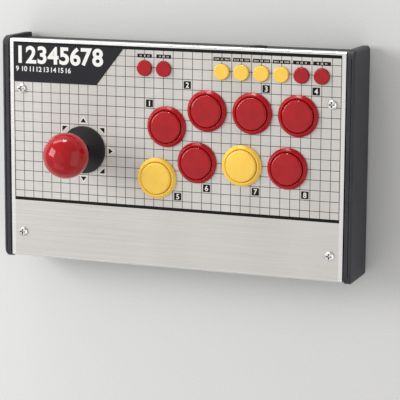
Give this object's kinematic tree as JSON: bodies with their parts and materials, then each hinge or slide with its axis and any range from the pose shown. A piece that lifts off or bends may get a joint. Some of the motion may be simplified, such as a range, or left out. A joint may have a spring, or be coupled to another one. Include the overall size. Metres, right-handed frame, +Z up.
{
  "type": "arcade fight stick",
  "caption": "Low desktop joystick controller: steel panel with ball-top lever, large push buttons and a row of small caps, between two side cheeks on a folded tray.",
  "frame": {"origin": "on the table under the middle of the body, at the bottom of the rubber feet", "axes": "+X to the player's right, +Y to the rear, +Z up"},
  "size_m": [0.2856, 0.1756, 0.0955],
  "materials": {
    "steel": "fine brushed, run from side to side",
    "film": "satin printed film",
    "label": "satin",
    "charcoal": "fine texture",
    "black_paint": "fine textured paint",
    "rubber": "matt",
    "bright": "polished",
    "plated": "zinc plated",
    "red": "polished",
    "yellow": "polished",
    "black_plastic": "moulded",
    "white_plastic": "moulded",
    "board": "lacquered board",
    "wire": "insulated wire"
  },
  "bodies": {
    "root": {"top_panel": "steel", "printed_film": "film", "corner_label": "label", "left_cheek": "charcoal", "right_cheek": "charcoal", "chassis_tray": "black_paint", "rubber_feet": "rubber", "panel_screws": "bright", "base_screws": "plated", "cable_grommet": "rubber", "housing_1": "red", "housing_2": "red", "housing_3": "red", "housing_4": "red", "housing_5": "yellow", "housing_6": "red", "housing_7": "yellow", "housing_8": "red", "ring_nuts": "black_plastic", "button_switches": "black_plastic", "menu_board": "board", "menu_switches": "black_plastic", "lever_plate": "plated", "lever_nuts": "plated", "lever_body": "black_plastic", "spring_seat": "black_plastic", "restrictor_gate": "white_plastic", "lever_switches": "black_plastic", "lever_board": "board", "main_board": "board", "board_chips": "black_plastic", "small_screws": "plated", "wire_headers": "white_plastic", "wire_harness": "wire"},
    "ring": {"gimbal_ring": "plated"},
    "sleeve": {"pivot_sleeve": "black_plastic", "actuator": "white_plastic", "centring_spring": "plated"},
    "shaft": {"lever_shaft": "bright", "ball_top": "red", "shaft_clip": "plated"},
    "lower_dust_cover": {"dust_shield": "black_plastic"},
    "upper_dust_cover": {"dust_washer": "black_plastic"},
    "plunger_1": {"button_1": "red"},
    "plunger_2": {"button_2": "red"},
    "plunger_3": {"button_3": "red"},
    "plunger_4": {"button_4": "red"},
    "plunger_5": {"button_5": "yellow"},
    "plunger_6": {"button_6": "red"},
    "plunger_7": {"button_7": "yellow"},
    "plunger_8": {"button_8": "red"},
    "small_cap_1": {"cap_1": "red"},
    "small_cap_2": {"cap_2": "red"},
    "small_cap_3": {"cap_3": "yellow"},
    "small_cap_4": {"cap_4": "yellow"},
    "small_cap_5": {"cap_5": "yellow"},
    "small_cap_6": {"cap_6": "yellow"},
    "small_cap_7": {"cap_7": "red"},
    "small_cap_8": {"cap_8": "red"}
  },
  "joints": [
    {"name": "lever_fore_aft", "type": "hinge", "parent": "root", "child": "ring", "pos_m": [-0.07385, 0.002, 0.032], "axis": [1, 0, 0], "range_deg": [-8, 8], "stiffness_Nm_per_rad": 0.4},
    {"name": "lever_left_right", "type": "hinge", "parent": "ring", "child": "sleeve", "pos_m": [-0.07385, 0.002, 0.032], "axis": [0, 1, 0], "range_deg": [-8, 8], "stiffness_Nm_per_rad": 0.4, "deforming": ["centring_spring"]},
    {"name": "shaft_spin", "type": "hinge", "parent": "sleeve", "child": "shaft", "pos_m": [-0.07385, 0.002, 0.032], "axis": [0, 0, 1], "continuous": true},
    {"name": "shield_slide", "type": "slide", "parent": "root", "child": "lower_dust_cover", "axis": [0, 1, 0], "range_m": [-0.00205, 0.00205]},
    {"name": "washer_slide", "type": "slide", "parent": "lower_dust_cover", "child": "upper_dust_cover", "axis": [1, 0, 0], "range_m": [-0.00205, 0.00205]},
    {"name": "button_1_press", "type": "slide", "parent": "root", "child": "plunger_1", "axis": [0, 0, -1], "range_m": [0, 0.003], "stiffness_N_per_m": 250, "springref_m": -0.002},
    {"name": "button_2_press", "type": "slide", "parent": "root", "child": "plunger_2", "axis": [0, 0, -1], "range_m": [0, 0.003], "stiffness_N_per_m": 250, "springref_m": -0.002},
    {"name": "button_3_press", "type": "slide", "parent": "root", "child": "plunger_3", "axis": [0, 0, -1], "range_m": [0, 0.003], "stiffness_N_per_m": 250, "springref_m": -0.002},
    {"name": "button_4_press", "type": "slide", "parent": "root", "child": "plunger_4", "axis": [0, 0, -1], "range_m": [0, 0.003], "stiffness_N_per_m": 250, "springref_m": -0.002},
    {"name": "button_5_press", "type": "slide", "parent": "root", "child": "plunger_5", "axis": [0, 0, -1], "range_m": [0, 0.003], "stiffness_N_per_m": 250, "springref_m": -0.002},
    {"name": "button_6_press", "type": "slide", "parent": "root", "child": "plunger_6", "axis": [0, 0, -1], "range_m": [0, 0.003], "stiffness_N_per_m": 250, "springref_m": -0.002},
    {"name": "button_7_press", "type": "slide", "parent": "root", "child": "plunger_7", "axis": [0, 0, -1], "range_m": [0, 0.003], "stiffness_N_per_m": 250, "springref_m": -0.002},
    {"name": "button_8_press", "type": "slide", "parent": "root", "child": "plunger_8", "axis": [0, 0, -1], "range_m": [0, 0.003], "stiffness_N_per_m": 250, "springref_m": -0.002},
    {"name": "cap_1_press", "type": "slide", "parent": "root", "child": "small_cap_1", "axis": [0, 0, -1], "range_m": [0, 0.0006], "stiffness_N_per_m": 900, "springref_m": -0.0006},
    {"name": "cap_2_press", "type": "slide", "parent": "root", "child": "small_cap_2", "axis": [0, 0, -1], "range_m": [0, 0.0006], "stiffness_N_per_m": 900, "springref_m": -0.0006},
    {"name": "cap_3_press", "type": "slide", "parent": "root", "child": "small_cap_3", "axis": [0, 0, -1], "range_m": [0, 0.0006], "stiffness_N_per_m": 900, "springref_m": -0.0006},
    {"name": "cap_4_press", "type": "slide", "parent": "root", "child": "small_cap_4", "axis": [0, 0, -1], "range_m": [0, 0.0006], "stiffness_N_per_m": 900, "springref_m": -0.0006},
    {"name": "cap_5_press", "type": "slide", "parent": "root", "child": "small_cap_5", "axis": [0, 0, -1], "range_m": [0, 0.0006], "stiffness_N_per_m": 900, "springref_m": -0.0006},
    {"name": "cap_6_press", "type": "slide", "parent": "root", "child": "small_cap_6", "axis": [0, 0, -1], "range_m": [0, 0.0006], "stiffness_N_per_m": 900, "springref_m": -0.0006},
    {"name": "cap_7_press", "type": "slide", "parent": "root", "child": "small_cap_7", "axis": [0, 0, -1], "range_m": [0, 0.0006], "stiffness_N_per_m": 900, "springref_m": -0.0006},
    {"name": "cap_8_press", "type": "slide", "parent": "root", "child": "small_cap_8", "axis": [0, 0, -1], "range_m": [0, 0.0006], "stiffness_N_per_m": 900, "springref_m": -0.0006}
  ],
  "couplings": [
    {"joint": "shield_slide", "follows": "lever_fore_aft", "m_per_rad": -0.01395},
    {"joint": "washer_slide", "follows": "lever_left_right", "m_per_rad": 0.01395}
  ]
}
